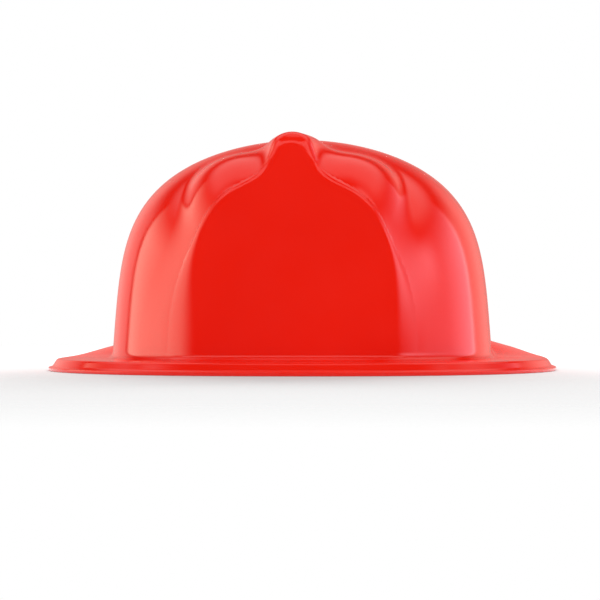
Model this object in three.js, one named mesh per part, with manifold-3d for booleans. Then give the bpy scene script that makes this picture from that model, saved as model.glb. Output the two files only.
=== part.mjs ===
// Firefighter helmet: one moulded shell with a front panel, a comb and six ribs, carried on a four-point
// suspension whose headband is tightened by a ratchet knob at the nape.
// Millimetres. +Z is up, the front faces -Y, and the helmet stands on its brim at z = 0.
import * as THREE from "three";
import { mergeVertices } from "three/addons/utils/BufferGeometryUtils.js";
import Module from "manifold-3d";

const wasm = await Module();
wasm.setup();

// ---------------------------------------------------------------- driving dimensions
const GAP = 0.3; // left between pieces that touch
const WALL = 1.6; // shell thickness

// Crown: a smooth dome on an oval plan, longer behind its axis than in front of it.
const AXIS_Y = -27;
const CROWN_HALF_WIDTH = 94;
const CROWN_FRONT = 105;
const CROWN_REAR = 125;
const CROWN_HEIGHT = 113.6;
const CROWN_TAPER = 0.087; // share of the width lost from the base to the top
const FRONT_SQUARENESS = 2.3;
const REAR_SQUARENESS = 2.2;
const SIDE_POWER = 1.855;
const TOP_POWER = 4.73;

// Front panel: a curved plate with an arched outline and a nub on top. It stands PANEL_STEP proud of a bulge
// that widens as it runs back into the dome.
const PANEL_PROUD = 1.5; // how far the panel's foot stands out of the dome
const PANEL_LEAN = 0.085;
const PANEL_RADIUS = 120;
const PANEL_EDGE = 2;
const PANEL_ARCH = { halfWidth: 53.5, height: 92.5, power: 2.87 };
const BULGE_ARCH = { halfWidth: 62, height: 105.5, power: 3.9 };
const BULGE_DEPTH = 45;
const BULGE_POWER = 3.5;
const ARCH_BLEND = 17;
const NUB_HALF_WIDTH = 9.7;
const NUB_TOP = 113.4;
const NUB_TOP_RADIUS = 12.6;
const NUB_FALL = 0.05; // slope of the nub's back as it runs into the dome
const NUB_NARROWING = 0.05;

// Brim: widths from the crown's wall, and the height at which it leaves the wall.
const BRIM_FRONT = 28;
const BRIM_SIDE = 31.1;
const BRIM_REAR = 62;
const BRIM_ROOT_FRONT = 6.4;
const BRIM_ROOT_REAR = 18;
const ROOT_FILLET = 4;
const CREST_HEIGHT = 5.8;
const CREST_INSET = 4.2;
const FLANGE_WIDTH = 1.9;
const FLANGE_HEIGHT = 2.1;

// Headband: a four-centre oval strip, with its rear arc centred on x = 0, y = 0.
const BAND_Y = -26;
const BAND_HALF_WIDTH = 79;
const END_RADIUS = 70;
const END_OFFSET = 26;
const BAND_THICKNESS = 1.4;
const BAND_LOW = 9;
const BAND_HIGH = 29;
const BAND_END_ANGLE = 28;

// Suspension keys, and the sockets bonded inside the shell that they push up into.
const KEY_ANGLES = [50, 130];
const KEY_THICKNESS = 3;
const KEY_WALL_DISTANCE = 9.5;
const KEY_WIDTH = 27;
const KEY_LOW = 14;
const SLOT_LOW = 27;
const SLOT_HIGH = 31.5;
const SLOT_WIDTH = 21;
const KEY_SHOULDER = 41;
const TONGUE_WIDTH = 20;
const TONGUE_HIGH = 53;
const SOCKET_LOW = 42;
const SOCKET_HIGH = 56;
const SOCKET_WALL = 2;
const STUD_RADIUS = 2.3;
const STUD_HEAD_RADIUS = 4;
const STUD_HEAD_THICKNESS = 1.4;

// Crown straps.
const STRAP_WIDTH = 19;
const STRAP_THICKNESS = 1.2;
const STRAP_APEX = 86;
const STRAP_STACK = 1.7; // the upper strap lies this far above the lower one
const STRAP_SPRING = 42; // where a strap leaves its key and starts its arc

// Ratchet at the nape. Radii are from x = 0, y = 0, and angles from +Y.
const RATCHET_Z = 20;
const BASE_RADII = [62.8, 64.8];
const COVER_RADII = [68.6, 71];
const HOUSING_ANGLE = 22;
const HOUSING_LOW = 4;
const HOUSING_HIGH = 36;
const RAIL_HEIGHT = 5.5;
const TAIL_HEIGHT = 18;
const TAIL_THICKNESS = 1.3;
const TAIL_INNER_RADIUS = { left: 65.2, right: 66.9 };
const TAIL_TIP_ANGLE = 18;
const TAIL_END_ANGLE = 51.5;
const RACK_HALF_LENGTH = 17.9;
const RACK_TEETH_HALF = 4;
const PINION_TEETH = 9;
const PITCH_RADIUS = 4.5;
const PITCH = (2 * Math.PI * PITCH_RADIUS) / PINION_TEETH;
const GUIDE_ANGLE = 36;
const GUIDE_SLOT_HALF_ANGLE = 12.6;
const GUIDE_RADIUS = 2;
const KNOB_RADIUS = 16;
const KNOB_FACE = 84;
const SCREW_ANGLE = 17;

// ---------------------------------------------------------------- materials
const plastic = (color, roughness) => new THREE.MeshStandardMaterial({ color, roughness, metalness: 0 });
const RED_SHELL = plastic(0xd81a0c, 0.22);
const RED_SOCKET = plastic(0xc41a10, 0.4);
const BLACK_NYLON = plastic(0x1b1b1d, 0.5);
const GREY_BAND = plastic(0x2c2d30, 0.45);
const WHITE_WEBBING = plastic(0xd9d6cc, 0.9);
const CHARCOAL_PAD = plastic(0x303236, 0.95);
const STEEL = new THREE.MeshStandardMaterial({ color: 0xb9bcc0, roughness: 0.3, metalness: 1 });

// ---------------------------------------------------------------- solids
const { degToRad } = THREE.MathUtils;

// A three.js geometry as a manifold-3d solid.
function solid(geometry) {
  const bare = geometry.clone();
  bare.deleteAttribute("normal");
  bare.deleteAttribute("uv");
  const merged = mergeVertices(bare, 1e-4);
  const vertProperties = new Float32Array(merged.attributes.position.array);
  const triVerts = new Uint32Array(merged.index.array);
  return new wasm.Manifold(new wasm.Mesh({ numProp: 3, vertProperties, triVerts }));
}

// A manifold-3d solid as a three.js geometry.
function shape(manifold) {
  const made = manifold.simplify(0.02).getMesh();
  const geometry = new THREE.BufferGeometry();
  geometry.setAttribute("position", new THREE.BufferAttribute(made.vertProperties, 3));
  geometry.setIndex(new THREE.BufferAttribute(made.triVerts, 1));
  geometry.computeVertexNormals();
  return geometry;
}

const join = (...geometries) => shape(geometries.map(solid).reduce((a, b) => a.add(b)));
const cut = (body, ...tools) => shape(tools.map(solid).reduce((a, b) => a.subtract(b), solid(body)));
const common = (a, b) => shape(solid(a).intersect(solid(b)));

const box = (x1, x2, y1, y2, z1, z2) =>
  new THREE.BoxGeometry(x2 - x1, y2 - y1, z2 - z1).translate((x1 + x2) / 2, (y1 + y2) / 2, (z1 + z2) / 2);

// A round or polygonal bar along Y.
const barY = (radius, y1, y2, sides = 24) =>
  new THREE.CylinderGeometry(radius, radius, y2 - y1, sides).translate(0, (y1 + y2) / 2, 0);

// A block between two radii and two angles about the Z axis; angles are in degrees from +Y towards +X.
function arcBlock(r1, r2, from, to, z1, z2, segments = 16) {
  const start = Math.PI / 2 - degToRad(min(from, to));
  const end = Math.PI / 2 - degToRad(max(from, to));
  const outline = new THREE.Shape();
  outline.absarc(0, 0, r2, start, end, true);
  outline.absarc(0, 0, r1, end, start, false);
  outline.closePath();
  const made = new THREE.ExtrudeGeometry(outline, { depth: z2 - z1, bevelEnabled: false, curveSegments: segments });
  return made.translate(0, 0, z1);
}

// Turns a piece made at x = 0, facing +Y, to an angle about the Z axis, in degrees from +Y towards +X.
const turned = (geometry, angle) => geometry.rotateZ(-degToRad(angle));

// ---------------------------------------------------------------- the crown's surface
const { abs, max, min, hypot } = Math;

// Smaller and larger of two distances, rounded over a width k where they meet.
const blendMin = (a, b, k) => min(a, b) - (max(k - abs(a - b), 0) ** 2 / k) * 0.25;
const blendMax = (a, b, k) => -blendMin(-a, -b, k);
const ramp = (value, from, to) => THREE.MathUtils.smoothstep(value, from, to);

// First-order distance to the surface where a level function is zero.
function distanceTo(level, x, y, z) {
  const step = 0.5;
  const slope = hypot(
    level(x + step, y, z) - level(x - step, y, z),
    level(x, y + step, z) - level(x, y - step, z),
    level(x, y, z + step) - level(x, y, z - step),
  );
  return (level(x, y, z) * 2 * step) / max(slope, 1e-6);
}

// Plan radius of the crown's oval in a direction, as a share: 1 on the base outline. y is from the crown's axis.
function planShare(x, y) {
  const power = y < 0 ? FRONT_SQUARENESS : REAR_SQUARENESS;
  const length = y < 0 ? CROWN_FRONT : CROWN_REAR;
  return ((abs(x) / CROWN_HALF_WIDTH) ** power + (abs(y) / length) ** power) ** (1 / power);
}

// Below zero inside the dome.
function domeLevel(x, y, z) {
  const height = max(z, 0) / CROWN_HEIGHT;
  return height ** TOP_POWER + (planShare(x, y) / (1 - CROWN_TAPER * height)) ** SIDE_POWER - 1;
}

// The share of the way along a ray at which a function turns positive, times its reach.
function leaves(inside, reach) {
  let near = 0;
  let far = reach;
  for (let i = 0; i < 40; i++) {
    const mid = (near + far) / 2;
    if (inside(mid)) near = mid;
    else far = mid;
  }
  return far;
}

// The point where a ray from inside, with its origin on the plane x = 0, leaves the dome.
function domePoint(originY, originZ, x, y, z) {
  const reach = leaves((t) => domeLevel(x * t, originY + y * t, originZ + z * t) < 0, 220);
  return new THREE.Vector3(x * reach, originY + y * reach + AXIS_Y, originZ + z * reach);
}

// ---------------------------------------------------------------- the front panel and its bulge
const panelY = (x, z) =>
  AXIS_Y - CROWN_FRONT - PANEL_PROUD + PANEL_LEAN * z + x ** 2 / (2 * PANEL_RADIUS);

// Distance outside the outline at a depth behind the panel, in the x-z plane.
function outlineDistance(x, z, depth) {
  const along = 1 - (1 - THREE.MathUtils.clamp(depth / BULGE_DEPTH, 0, 1)) ** BULGE_POWER;
  const mix = (name) => PANEL_ARCH[name] + (BULGE_ARCH[name] - PANEL_ARCH[name]) * along;
  const [halfWidth, height, power] = [mix("halfWidth"), mix("height"), mix("power")];
  const level = (u, _, w) => ((abs(u) / halfWidth) ** power + (max(w, 0) / height) ** power) ** (1 / power) - 1;
  const arch = distanceTo(level, x, 0, z);
  const centre = NUB_TOP - NUB_TOP_RADIUS - NUB_FALL * depth;
  const nub = blendMax(hypot(x, max(z - centre, 0)) - NUB_TOP_RADIUS, abs(x) - NUB_HALF_WIDTH + NUB_NARROWING * depth, 2);
  return blendMin(arch, nub, ARCH_BLEND);
}

const BULGE_COLUMNS = 52;
const BULGE_CENTRE = 50; // height of the point the outline is drawn about
const BULGE_FOOT = 4; // the bulge ends here, inside the brim
const BULGE_BACK = 88;

// The solid behind the panel, with all its faces moved inwards by a distance.
function bulgeGeometry(inwards) {
  const rounding = [0, 45, 90].map(degToRad).map((a) => [Math.sin(a) - 1, 1 - Math.cos(a)].map((k) => k * PANEL_EDGE));
  const rings = [
    ...[0.35, 0.7].map((share) => ({ share, short: -PANEL_EDGE, depth: 0 })),
    ...rounding.map(([short, depth]) => ({ share: 1, short, depth })),
    ...[3, 5, 8, 12, 18, 26, 36, BULGE_DEPTH, BULGE_BACK].map((depth) => ({ share: 1, short: 0, depth })),
  ];
  const place = (x, z, depth) => new THREE.Vector3(x, panelY(x, z) + depth + inwards, z);
  const points = rings.flatMap(({ share, short, depth }) =>
    Array.from({ length: BULGE_COLUMNS }, (_, c) => {
      const half = (2 * c) / BULGE_COLUMNS;
      const turn = Math.PI * (half <= 1 ? half ** 1.6 : 2 - (2 - half) ** 1.6);
      const [x, z] = [Math.sin(turn), Math.cos(turn)];
      const slack = max(depth - PANEL_EDGE, 0);
      const out = leaves((t) => outlineDistance(x * t, BULGE_CENTRE + z * t, slack) < 0, 90) + short - inwards;
      const floor = z < 0 ? (BULGE_FOOT - BULGE_CENTRE) / z : Infinity;
      const reach = min(out, floor) * share;
      return place(x * reach, BULGE_CENTRE + z * reach, depth);
    }),
  );
  const front = points.push(place(0, BULGE_CENTRE, 0)) - 1;
  const back = points.push(place(0, BULGE_CENTRE, BULGE_BACK)) - 1;
  const faces = [];
  for (let c = 0; c < BULGE_COLUMNS; c++) {
    const next = (c + 1) % BULGE_COLUMNS;
    const last = (rings.length - 1) * BULGE_COLUMNS;
    faces.push(front, next, c, back, last + c, last + next);
    for (let ring = 0; ring + 1 < rings.length; ring++) {
      const [a, b] = [ring * BULGE_COLUMNS + c, ring * BULGE_COLUMNS + next];
      faces.push(a, b + BULGE_COLUMNS, a + BULGE_COLUMNS, a, b, b + BULGE_COLUMNS);
    }
  }
  return meshOf(points, faces);
}

// ---------------------------------------------------------------- shell
const COLUMNS = 28; // from the front centre to the rear centre, on one side
const CROWN_ROWS = 13;

const brimRoot = (u) => BRIM_ROOT_FRONT + (BRIM_ROOT_REAR - BRIM_ROOT_FRONT) * ramp(u, 0.48, 0.82);

// Crown points of column u (0 front centre, 1 rear centre), from the comb line down to the brim's fillet.
function crownColumn(u, side) {
  const turn = Math.PI * u;
  const originY = -70 + 125 * u;
  const originZ = brimRoot(u) + ROOT_FILLET;
  return Array.from({ length: CROWN_ROWS + 1 }, (_, row) => {
    const rise = (Math.PI / 2) * (1 - row / CROWN_ROWS);
    const flat = Math.cos(rise);
    return domePoint(originY, originZ, side * Math.sin(turn) * flat, -Math.cos(turn) * flat, Math.sin(rise));
  });
}

// Brim points of a column, from the wall out to the lip, in the vertical plane through the crown's axis.
function brimColumn(u, wall) {
  const out = new THREE.Vector2(wall.x, wall.y - AXIS_Y);
  const wallRadius = out.length();
  out.normalize();
  const lean = -out.y; // 1 at the front, -1 at the rear
  const width = lean > 0 ? BRIM_SIDE + (BRIM_FRONT - BRIM_SIDE) * lean ** 2 : BRIM_SIDE + (BRIM_REAR - BRIM_SIDE) * (-lean) ** 2.2;
  const lip = 1 / planShare(out.x, out.y) + width;
  const root = brimRoot(u);
  const crest = lip - CREST_INSET;
  const filletPoints = [30, 60, 90].map(degToRad).map((a) => [
    wallRadius + ROOT_FILLET * (1 - Math.cos(a)),
    root + ROOT_FILLET * (1 - Math.sin(a)),
  ]);
  const span = (share) => wallRadius + ROOT_FILLET + share * (crest - wallRadius - ROOT_FILLET);
  const profile = [
    ...filletPoints,
    [span(0.35), root + (CREST_HEIGHT - root) * 0.18],
    [span(0.7), root + (CREST_HEIGHT - root) * 0.52],
    [crest, CREST_HEIGHT],
    [crest + 1, CREST_HEIGHT - 1.4],
    [lip - FLANGE_WIDTH, FLANGE_HEIGHT],
    [lip - FLANGE_WIDTH + 1, FLANGE_HEIGHT - 0.3],
    [lip, WALL],
  ];
  return profile.map(([r, z]) => new THREE.Vector3(out.x * r, AXIS_Y + out.y * r, z));
}

// Vertex numbers of a grid of rows and columns round the helmet. Row 0 is the comb line, which both sides share.
const AROUND = 2 * COLUMNS;
const gridIndex = (row, column) => {
  const c = ((column % AROUND) + AROUND) % AROUND;
  return row === 0 ? min(c, AROUND - c) : COLUMNS + 1 + (row - 1) * AROUND + c;
};

function gridPoints(columnPoints) {
  const columns = Array.from({ length: AROUND }, (_, c) =>
    columnPoints(min(c, AROUND - c) / COLUMNS, c > COLUMNS ? -1 : 1),
  );
  const points = [];
  columns.forEach((column, c) => column.forEach((point, row) => (points[gridIndex(row, c)] = point)));
  return { points, rows: columns[0].length };
}

function gridFaces(rows, reversed, shift = 0) {
  const faces = [];
  for (let row = 0; row + 1 < rows; row++)
    for (let c = 0; c < AROUND; c++) {
      const [a, b, d, e] = [[row, c], [row + 1, c], [row + 1, c + 1], [row, c + 1]].map(([r, k]) => gridIndex(r, k) + shift);
      const pair = [a, b, d, a, d, e];
      faces.push(...(reversed ? pair.reverse() : pair));
    }
  return faces;
}

function meshOf(points, faces) {
  const geometry = new THREE.BufferGeometry();
  geometry.setAttribute("position", new THREE.Float32BufferAttribute(points.flatMap((p) => p.toArray()), 3));
  geometry.setIndex(faces);
  return geometry;
}

// The same grid moved inwards along its own normals, never below the ground.
function inset(points, faces, depth) {
  const skin = meshOf(points, faces);
  skin.computeVertexNormals();
  const normal = new THREE.Vector3();
  return points.map((point, i) => {
    normal.fromBufferAttribute(skin.attributes.normal, i);
    const moved = point.clone().addScaledVector(normal, -depth);
    moved.z = max(moved.z, 0);
    return moved;
  });
}

const helmetColumn = (u, side) => {
  const crown = crownColumn(u, side);
  return [...crown, ...brimColumn(u, crown.at(-1))];
};
const skin = gridPoints(helmetColumn);
const skinFaces = gridFaces(skin.rows, false);

// A grid closed with a level floor below its last row.
function closed(points, rows, floor) {
  const all = points.slice(0, gridIndex(rows, 0));
  const faces = gridFaces(rows, false);
  const ring = all.length;
  for (let c = 0; c < AROUND; c++) all.push(all[gridIndex(rows - 1, c)].clone().setZ(floor));
  const centre = all.push(new THREE.Vector3(0, AXIS_Y, floor)) - 1;
  for (let c = 0; c < AROUND; c++) {
    const [a, b, next] = [gridIndex(rows - 1, c), gridIndex(rows - 1, c + 1), (c + 1) % AROUND];
    faces.push(a, ring + c, ring + next, a, ring + next, b);
    faces.push(ring + c, centre, ring + next);
  }
  return meshOf(all, faces);
}

// The outer skin, down to the flange, less the inner one, down to where the flange starts.
function shellGeometry() {
  const inner = inset(skin.points, skinFaces, WALL);
  const outside = join(closed(skin.points, skin.rows, 0), bulgeGeometry(0));
  return cut(outside, closed(inner, skin.rows - 2, -1), bulgeGeometry(WALL));
}

// The space inside the dome, a gap away from its wall: what is fitted inside the shell is trimmed to it.
const cavityGeometry = () =>
  closed(inset(skin.points, skinFaces, WALL + GAP), CROWN_ROWS + 1, BRIM_ROOT_FRONT);

const cavity = cavityGeometry();

// ---------------------------------------------------------------- suspension keys and their sockets
// A key's own frame: x across, y outwards from the crown's axis, z up.
const toKeyPlace = (geometry, angle) => geometry.rotateZ(Math.PI + degToRad(angle)).translate(0, AXIS_Y, 0);

// Distance from the crown's axis to the inside of its wall.
function wallRadius(angle, z) {
  const turn = degToRad(abs(angle));
  const hit = domePoint(0, z, Math.sin(turn), -Math.cos(turn), 0);
  return hypot(hit.x, hit.y - AXIS_Y) - WALL;
}

// Distance from the crown's axis to the outside of the headband's side arc.
const SIDE_RADIUS = ((BAND_HALF_WIDTH ** 2 + END_OFFSET ** 2 - END_RADIUS ** 2) / (2 * (BAND_HALF_WIDTH - END_RADIUS)));
const SIDE_CENTRE = SIDE_RADIUS - BAND_HALF_WIDTH;
function bandRadius(angle) {
  const turn = degToRad(abs(angle));
  const along = SIDE_CENTRE * Math.sin(turn) - (AXIS_Y - BAND_Y) * Math.cos(turn);
  return -along + Math.sqrt(along ** 2 + SIDE_RADIUS ** 2 - SIDE_CENTRE ** 2 - (AXIS_Y - BAND_Y) ** 2);
}

const keyFace = (angle) => wallRadius(angle, 50) - KEY_WALL_DISTANCE;

function rectangle(width, low, high) {
  return [[-width / 2, low], [width / 2, low], [width / 2, high], [-width / 2, high]].map((p) => new THREE.Vector2(...p));
}

function keyGeometry(angle) {
  const face = keyFace(angle);
  const [wide, narrow] = [KEY_WIDTH / 2, TONGUE_WIDTH / 2];
  const outline = new THREE.Shape([
    [-wide + 4, KEY_LOW], [wide - 4, KEY_LOW], [wide, KEY_LOW + 6], [wide, KEY_SHOULDER - 2], [wide - 2, KEY_SHOULDER],
    [narrow, KEY_SHOULDER], [narrow, TONGUE_HIGH - 2], [narrow - 2, TONGUE_HIGH],
    [-narrow + 2, TONGUE_HIGH], [-narrow, TONGUE_HIGH - 2], [-narrow, KEY_SHOULDER],
    [-wide + 2, KEY_SHOULDER], [-wide, KEY_SHOULDER - 2], [-wide, KEY_LOW + 6],
  ].map((p) => new THREE.Vector2(...p)));
  outline.holes.push(new THREE.Path(rectangle(SLOT_WIDTH, SLOT_LOW, SLOT_HIGH)));
  const plate = new THREE.ExtrudeGeometry(outline, { depth: KEY_THICKNESS, bevelEnabled: false })
    .rotateX(Math.PI / 2)
    .translate(0, face + KEY_THICKNESS, 0);
  const headFace = bandRadius(angle) - BAND_THICKNESS - 1.2;
  const shaft = barY(STUD_RADIUS, headFace - 0.2, face + 0.5, 16).translate(0, 0, RATCHET_Z);
  const head = barY(STUD_HEAD_RADIUS, headFace - STUD_HEAD_THICKNESS, headFace, 16).translate(0, 0, RATCHET_Z);
  return toKeyPlace(join(plate, shaft, head), angle);
}

function socketGeometry(angle) {
  const face = keyFace(angle);
  const half = TONGUE_WIDTH / 2 + GAP;
  const block = box(-half - SOCKET_WALL, half + SOCKET_WALL, face - GAP - SOCKET_WALL, face + 40, SOCKET_LOW, SOCKET_HIGH);
  const pocket = box(-half, half, face - GAP, face + KEY_THICKNESS + GAP, SOCKET_LOW - 1, TONGUE_HIGH + GAP);
  return common(toKeyPlace(cut(block, pocket), angle), cavity);
}

// ---------------------------------------------------------------- headband and brow pad
// The oval strip between two offsets from its outer face, open at the rear between two angles either side of +Y.
function bandStrip(outer, inner, z1, z2) {
  const join1 = Math.atan2(END_OFFSET, SIDE_CENTRE);
  const rear = Math.PI / 2 - degToRad(BAND_END_ANGLE);
  const arcs = [
    [0, END_OFFSET, END_RADIUS, rear, join1],
    [-SIDE_CENTRE, 0, SIDE_RADIUS, join1, -join1],
    [0, -END_OFFSET, END_RADIUS, -join1, -Math.PI + join1],
    [SIDE_CENTRE, 0, SIDE_RADIUS, Math.PI + join1, Math.PI - join1],
    [0, END_OFFSET, END_RADIUS, Math.PI - join1, Math.PI - rear],
  ];
  const outline = new THREE.Shape();
  for (const [x, y, r, from, to] of arcs) outline.absarc(x, y, r - outer, from, to, true);
  for (const [x, y, r, from, to] of arcs.toReversed()) outline.absarc(x, y, r - inner, to, from, false);
  outline.closePath();
  const made = new THREE.ExtrudeGeometry(outline, { depth: z2 - z1, bevelEnabled: false, curveSegments: 14 });
  return made.translate(0, BAND_Y, z1);
}

const studHole = (angle) => {
  const radius = bandRadius(angle);
  return toKeyPlace(barY(STUD_RADIUS + 0.5, radius - 6, radius + 6, 16).translate(0, 0, RATCHET_Z), angle);
};

function guideStud(side) {
  const shaft = barY(GUIDE_RADIUS, 64.7, END_RADIUS - BAND_THICKNESS + 0.5, 14).translate(0, 0, RATCHET_Z);
  const head = barY(GUIDE_RADIUS + 1.4, 63.6, 64.9, 14).translate(0, 0, RATCHET_Z);
  return turned(join(shaft, head), side * GUIDE_ANGLE);
}

function headbandGeometry() {
  const holes = [1, -1].flatMap((side) => KEY_ANGLES.map((angle) => studHole(side * angle)));
  return join(cut(bandStrip(0, BAND_THICKNESS, BAND_LOW, BAND_HIGH), ...holes), guideStud(1), guideStud(-1));
}

const BROW_PAD_ANGLE = 50;
const BROW_PAD_THICKNESS = 4.5;
function browPadGeometry() {
  const back = END_RADIUS - BAND_THICKNESS - GAP;
  const pad = arcBlock(back - BROW_PAD_THICKNESS, back, -BROW_PAD_ANGLE, BROW_PAD_ANGLE, BAND_LOW + 1, BAND_HIGH - 1, 24);
  return turned(pad, 180).translate(0, BAND_Y - END_OFFSET, 0);
}

// ---------------------------------------------------------------- crown straps, pad and rivet
// A ribbon of even thickness along a line of (across, up) points, extruded across its width.
function ribbon(line, thickness, width) {
  const sides = [1, -1].map((side) =>
    line.map((point, i) => {
      const before = line[max(i - 1, 0)];
      const after = line[min(i + 1, line.length - 1)];
      const along = after.clone().sub(before).normalize();
      return new THREE.Vector2(point.x - side * along.y * thickness / 2, point.y + side * along.x * thickness / 2);
    }),
  );
  const outline = new THREE.Shape([...sides[1], ...sides[0].reverse()]);
  return new THREE.ExtrudeGeometry(outline, { depth: width, bevelEnabled: false }).translate(0, 0, -width / 2);
}

// One end of a strap: a hem outside the key's bar, under the bar, up its inner face and in to the arc.
function strapEnd(angle) {
  const face = keyFace(angle);
  const inside = face - 1;
  const outside = face + KEY_THICKNESS + 1;
  const under = SLOT_HIGH - 1;
  return [
    [outside, KEY_SHOULDER - 1], [outside, under + 1.6], [outside - 0.7, under + 0.3], [outside - 1.7, under],
    [inside + 1.7, under], [inside + 0.7, under + 0.3], [inside, under + 1.6], [inside, 36], [inside - 1.2, 39],
  ].map((p) => new THREE.Vector2(...p));
}

const ARC_STEPS = 12;
function strapGeometry(side, lift) {
  const [front, rear] = KEY_ANGLES;
  const reach = (angle) => keyFace(angle) - 3.6;
  const arc = Array.from({ length: 2 * ARC_STEPS + 1 }, (_, i) => {
    const turn = (Math.PI * i) / (2 * ARC_STEPS);
    const across = Math.cos(turn) * reach(turn < Math.PI / 2 ? front : rear);
    return new THREE.Vector2(across, STRAP_SPRING + (STRAP_APEX + lift - STRAP_SPRING) * Math.sin(turn));
  });
  const line = [...strapEnd(front), ...arc, ...strapEnd(rear).map((p) => p.setX(-p.x)).reverse()];
  const flat = ribbon(line, STRAP_THICKNESS, STRAP_WIDTH).rotateX(Math.PI / 2).rotateZ(Math.PI / 2);
  const hole = new THREE.CylinderGeometry(2.9, 2.9, 12, 16).rotateX(Math.PI / 2).translate(0, 0, STRAP_APEX + 1);
  return toKeyPlace(cut(flat, hole), side * front);
}

const lathe = (profile, sides) =>
  new THREE.LatheGeometry(profile.map((p) => new THREE.Vector2(...p)), sides).rotateX(Math.PI / 2).translate(0, AXIS_Y, 0);

const PAD_TOP = STRAP_APEX - 1;
const crownPadGeometry = () =>
  lathe([
    [3.1, PAD_TOP - 4.2], [8.2, PAD_TOP - 4.2], [8.2, PAD_TOP - 6.4], [24, PAD_TOP - 7.6], [30, PAD_TOP - 7], [31, PAD_TOP - 5],
    [30, PAD_TOP - 3], [20, PAD_TOP - 1], [3.1, PAD_TOP], [3.1, PAD_TOP - 4.2],
  ], 28);
const rivetStudGeometry = () =>
  lathe([
    [0, PAD_TOP - 6.2], [6.5, PAD_TOP - 6.2], [7.4, PAD_TOP - 5.4], [7.4, PAD_TOP - 4.6], [2.5, PAD_TOP - 4.6],
    [2.5, PAD_TOP + 5.2], [0, PAD_TOP + 5.2],
  ], 20);
const rivetCapGeometry = () =>
  lathe([
    [2.8, PAD_TOP + 3.7], [7.2, PAD_TOP + 3.7], [7.2, PAD_TOP + 5], [5.6, PAD_TOP + 6.6], [0, PAD_TOP + 7],
    [0, PAD_TOP + 5.5], [2.8, PAD_TOP + 5.5], [2.8, PAD_TOP + 3.7],
  ], 20);

// ---------------------------------------------------------------- ratchet
// A toothed strap tail. Its rack faces down on the left tail and up on the right one, so one pinion drives both.
function tailGeometry(name) {
  const own = name === "left" ? -1 : 1;
  const radius = TAIL_INNER_RADIUS[name];
  const outer = radius + TAIL_THICKNESS;
  const middle = radius + TAIL_THICKNESS / 2;
  const [low, high] = [RATCHET_Z - TAIL_HEIGHT / 2, RATCHET_Z + TAIL_HEIGHT / 2];
  const strap = arcBlock(radius, outer, own * TAIL_END_ANGLE, -own * TAIL_TIP_ANGLE, low, high, 20);
  const slotAngle = THREE.MathUtils.radToDeg(RACK_HALF_LENGTH / middle);
  const slot = arcBlock(radius - 2, outer + 2, -slotAngle, slotAngle, RATCHET_Z - 6, RATCHET_Z + 6, 8);
  const guide = arcBlock(
    radius - 2, outer + 2,
    own * (GUIDE_ANGLE - GUIDE_SLOT_HALF_ANGLE), own * (GUIDE_ANGLE + GUIDE_SLOT_HALF_ANGLE),
    RATCHET_Z - GUIDE_RADIUS - 0.4, RATCHET_Z + GUIDE_RADIUS + 0.4, 6,
  );
  const toothed = -own; // the left rack is above the pinion
  const phase = name === "left" ? 0.5 : 0; // the pinion has a tooth on top and a gap below
  const teeth = Array.from({ length: 2 * RACK_TEETH_HALF + 1 }, (_, i) => {
    const angle = THREE.MathUtils.radToDeg(((i - RACK_TEETH_HALF + phase) * PITCH) / middle);
    return turned(toothGeometry(radius, outer, toothed), angle);
  });
  return join(cut(strap, slot, guide), ...teeth);
}

function toothGeometry(inner, outer, toothed) {
  const [root, tip] = [RATCHET_Z + toothed * 6.3, RATCHET_Z + toothed * (PITCH_RADIUS - 0.7)];
  const outline = new THREE.Shape([[-0.86, root], [-0.24, tip], [0.24, tip], [0.86, root]].map((p) => new THREE.Vector2(...p)));
  const depth = outer - inner - 0.1;
  return new THREE.ExtrudeGeometry(outline, { depth, bevelEnabled: false }).rotateX(Math.PI / 2).translate(0, outer - 0.05, 0);
}

function baseGeometry() {
  const [inner, outer] = BASE_RADII;
  const plate = arcBlock(inner, outer, -HOUSING_ANGLE, HOUSING_ANGLE, HOUSING_LOW, HOUSING_HIGH);
  const rail = (low) => arcBlock(outer - 0.2, COVER_RADII[0] - GAP, -HOUSING_ANGLE, HOUSING_ANGLE, low, low + RAIL_HEIGHT);
  const whole = join(plate, rail(HOUSING_LOW), rail(HOUSING_HIGH - RAIL_HEIGHT));
  const bearing = barY(2.3, inner - 2, outer + 1, 16).translate(0, 0, RATCHET_Z);
  return cut(whole, bearing, ...screwPlaces().map(([angle, z]) => turned(barY(1.3, inner + 1, 72, 12).translate(0, 0, z), angle)));
}

const screwPlaces = () =>
  [-1, 1].flatMap((side) => [HOUSING_LOW + RAIL_HEIGHT / 2, HOUSING_HIGH - RAIL_HEIGHT / 2].map((z) => [side * SCREW_ANGLE, z]));

const DETENT_TEETH = 24;
function coverGeometry() {
  const [inner, outer] = COVER_RADII;
  const plate = arcBlock(inner, outer, -HOUSING_ANGLE, HOUSING_ANGLE, HOUSING_LOW, HOUSING_HIGH);
  const ring = barY(14.4, inner + 0.6, 74, 36).translate(0, 0, RATCHET_Z);
  const notches = Array.from({ length: 2 * DETENT_TEETH }, (_, i) => {
    const angle = (Math.PI * i) / DETENT_TEETH;
    const radius = i % 2 ? 12.4 : 11.5;
    return new THREE.Vector2(radius * Math.cos(angle), radius * Math.sin(angle));
  });
  const recess = new THREE.ExtrudeGeometry(new THREE.Shape(notches), { depth: 6, bevelEnabled: false })
    .rotateX(-Math.PI / 2)
    .translate(0, outer + 0.2, RATCHET_Z);
  const bore = barY(3.8, inner - 3, outer + 3, 24).translate(0, 0, RATCHET_Z);
  const holes = screwPlaces().flatMap(([angle, z]) => [
    turned(barY(1.6, inner - 1, outer + 1, 12).translate(0, 0, z), angle),
    turned(barY(2.9, outer - 1.2, outer + 1, 16).translate(0, 0, z), angle),
  ]);
  return cut(join(plate, ring), recess, bore, ...holes);
}

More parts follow.
